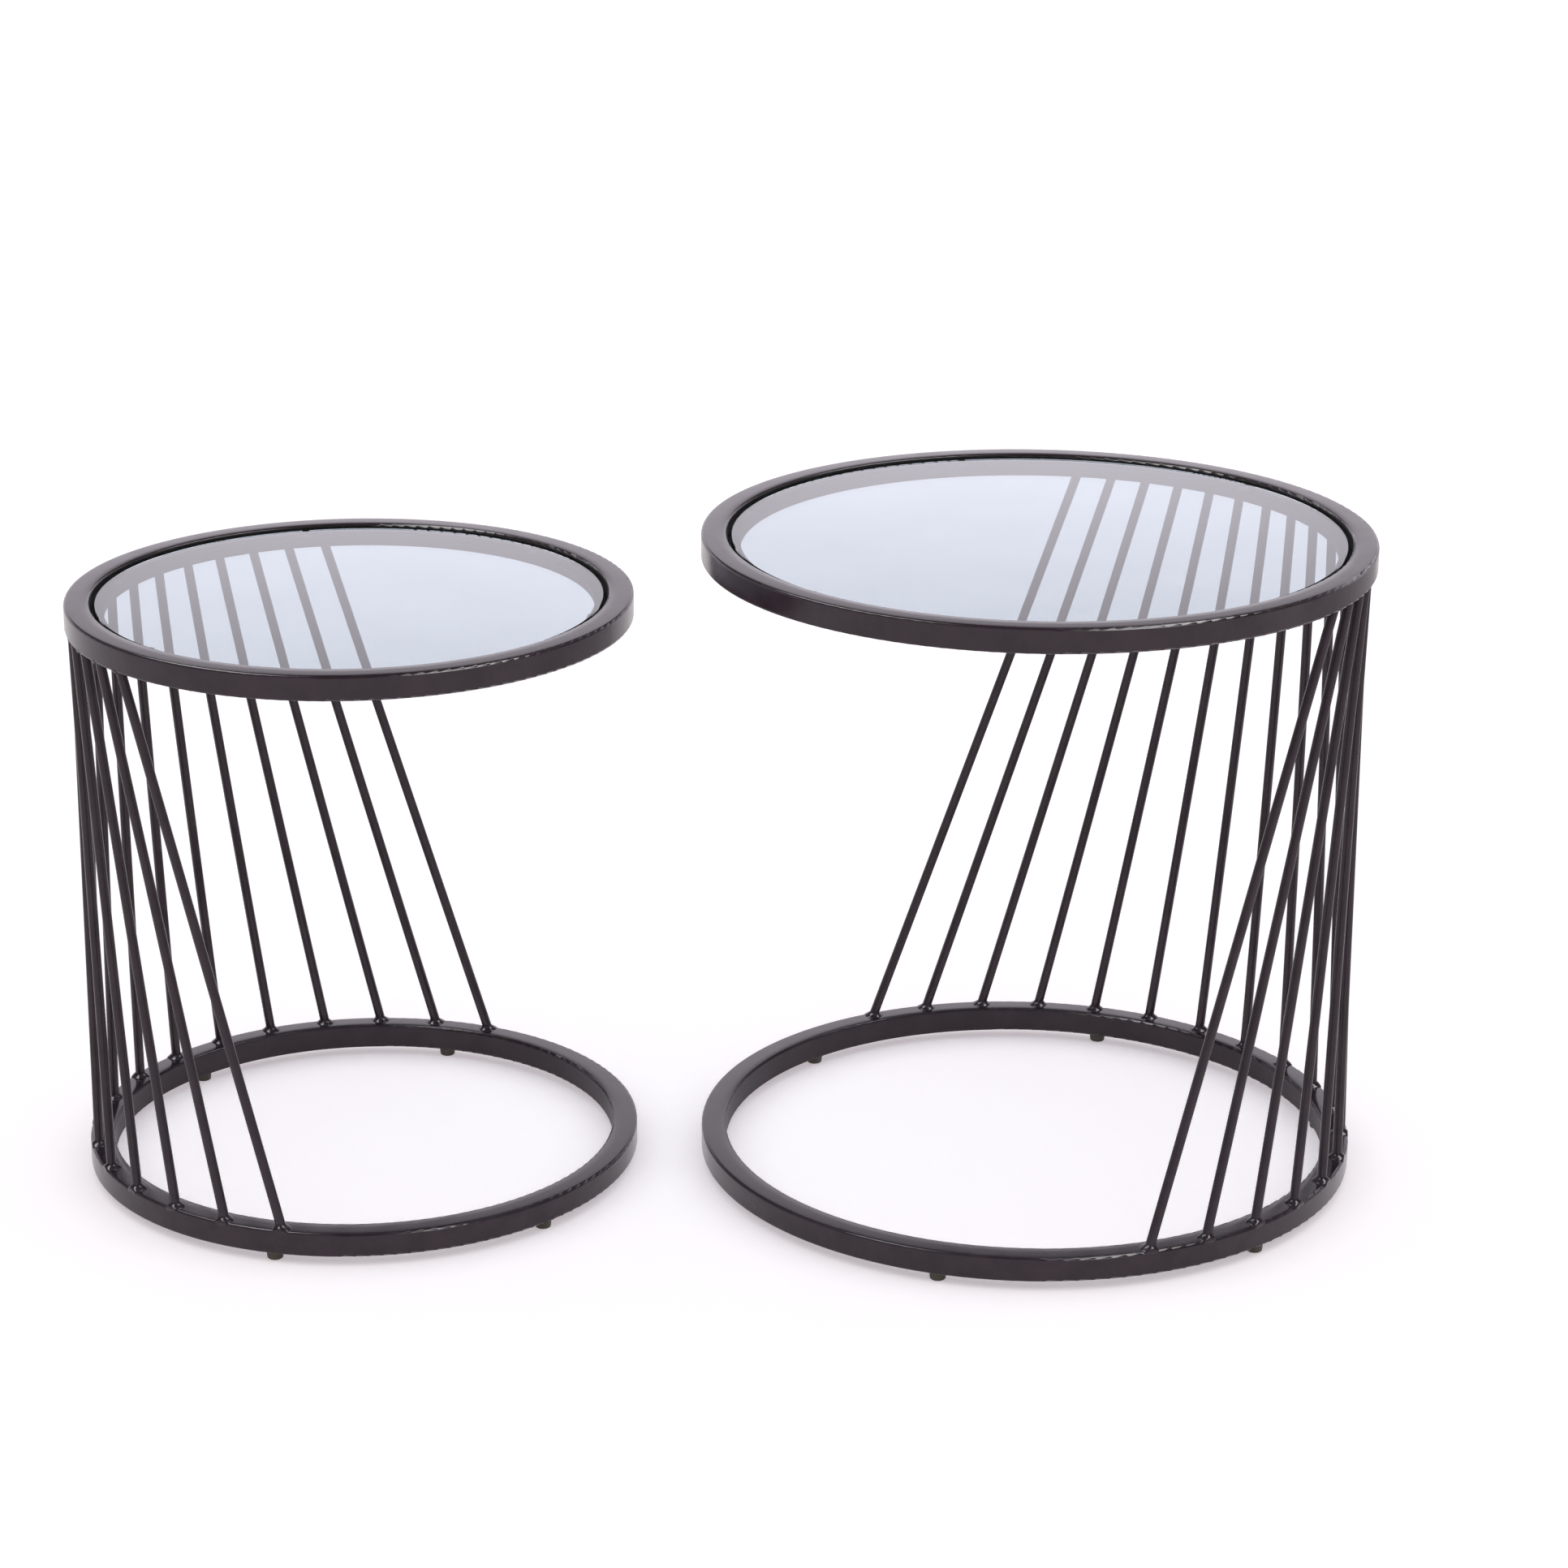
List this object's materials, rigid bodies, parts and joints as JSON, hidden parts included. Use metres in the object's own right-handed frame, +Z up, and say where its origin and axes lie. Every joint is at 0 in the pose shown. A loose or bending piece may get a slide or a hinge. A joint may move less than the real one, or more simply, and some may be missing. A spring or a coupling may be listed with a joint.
{
  "type": "nesting tables",
  "caption": "Pair of round glass-topped side tables on square-tube rings, joined by a fan of leaning round rods, one small enough to nest inside the other.",
  "frame": {"origin": "on the floor, halfway along the pair and on the line through the middles of both tables", "axes": "+Z up, +X from the small table towards the large one, along the pair, +Y to the rear, so that the rods of each table close its outer end"},
  "size_m": [0.971, 0.5, 0.499],
  "materials": {
    "frame": "dark brown-grey powder coat, satin, very fine orange peel",
    "glass": "tempered float glass, polished, with ground edges",
    "clear_pad": "clear silicone, soft and slightly cloudy",
    "foot": "dark brown moulded rubber, matte"
  },
  "bodies": {
    "large_table": {"large_bottom_ring": "frame", "large_top_ring": "frame", "large_glass_ledge": "frame", "large_glass_pads": "clear_pad", "large_rod_welds": "frame", "large_rod_01": "frame", "large_rod_02": "frame", "large_rod_03": "frame", "large_rod_04": "frame", "large_rod_05": "frame", "large_rod_06": "frame", "large_rod_07": "frame", "large_rod_08": "frame", "large_rod_09": "frame", "large_rod_10": "frame", "large_rod_11": "frame", "large_rod_12": "frame", "large_rod_13": "frame", "large_rod_14": "frame", "large_rod_15": "frame", "large_rod_16": "frame", "large_rod_17": "frame", "large_rod_18": "frame", "large_foot_1": "foot", "large_foot_2": "foot", "large_foot_3": "foot", "large_foot_4": "foot", "large_foot_5": "foot", "large_foot_6": "foot"},
    "large_glass": {"large_glass_top": "glass"},
    "small_table": {"small_bottom_ring": "frame", "small_top_ring": "frame", "small_glass_ledge": "frame", "small_glass_pads": "clear_pad", "small_rod_welds": "frame", "small_rod_01": "frame", "small_rod_02": "frame", "small_rod_03": "frame", "small_rod_04": "frame", "small_rod_05": "frame", "small_rod_06": "frame", "small_rod_07": "frame", "small_rod_08": "frame", "small_rod_09": "frame", "small_rod_10": "frame", "small_rod_11": "frame", "small_rod_12": "frame", "small_rod_13": "frame", "small_rod_14": "frame", "small_rod_15": "frame", "small_rod_16": "frame", "small_foot_1": "foot", "small_foot_2": "foot", "small_foot_3": "foot", "small_foot_4": "foot", "small_foot_5": "foot", "small_foot_6": "foot"},
    "small_glass": {"small_glass_top": "glass"}
  },
  "joints": [
    {"name": "large_glass_lift", "type": "slide", "parent": "large_table", "child": "large_glass", "axis": [0, 0, 1], "range_m": [0, 0.1]},
    {"name": "small_table_slide", "type": "slide", "parent": "large_table", "child": "small_table", "axis": [1, 0, 0], "range_m": [-0.25, 0.045]},
    {"name": "small_glass_lift", "type": "slide", "parent": "small_table", "child": "small_glass", "axis": [0, 0, 1], "range_m": [0, 0.1]}
  ]
}
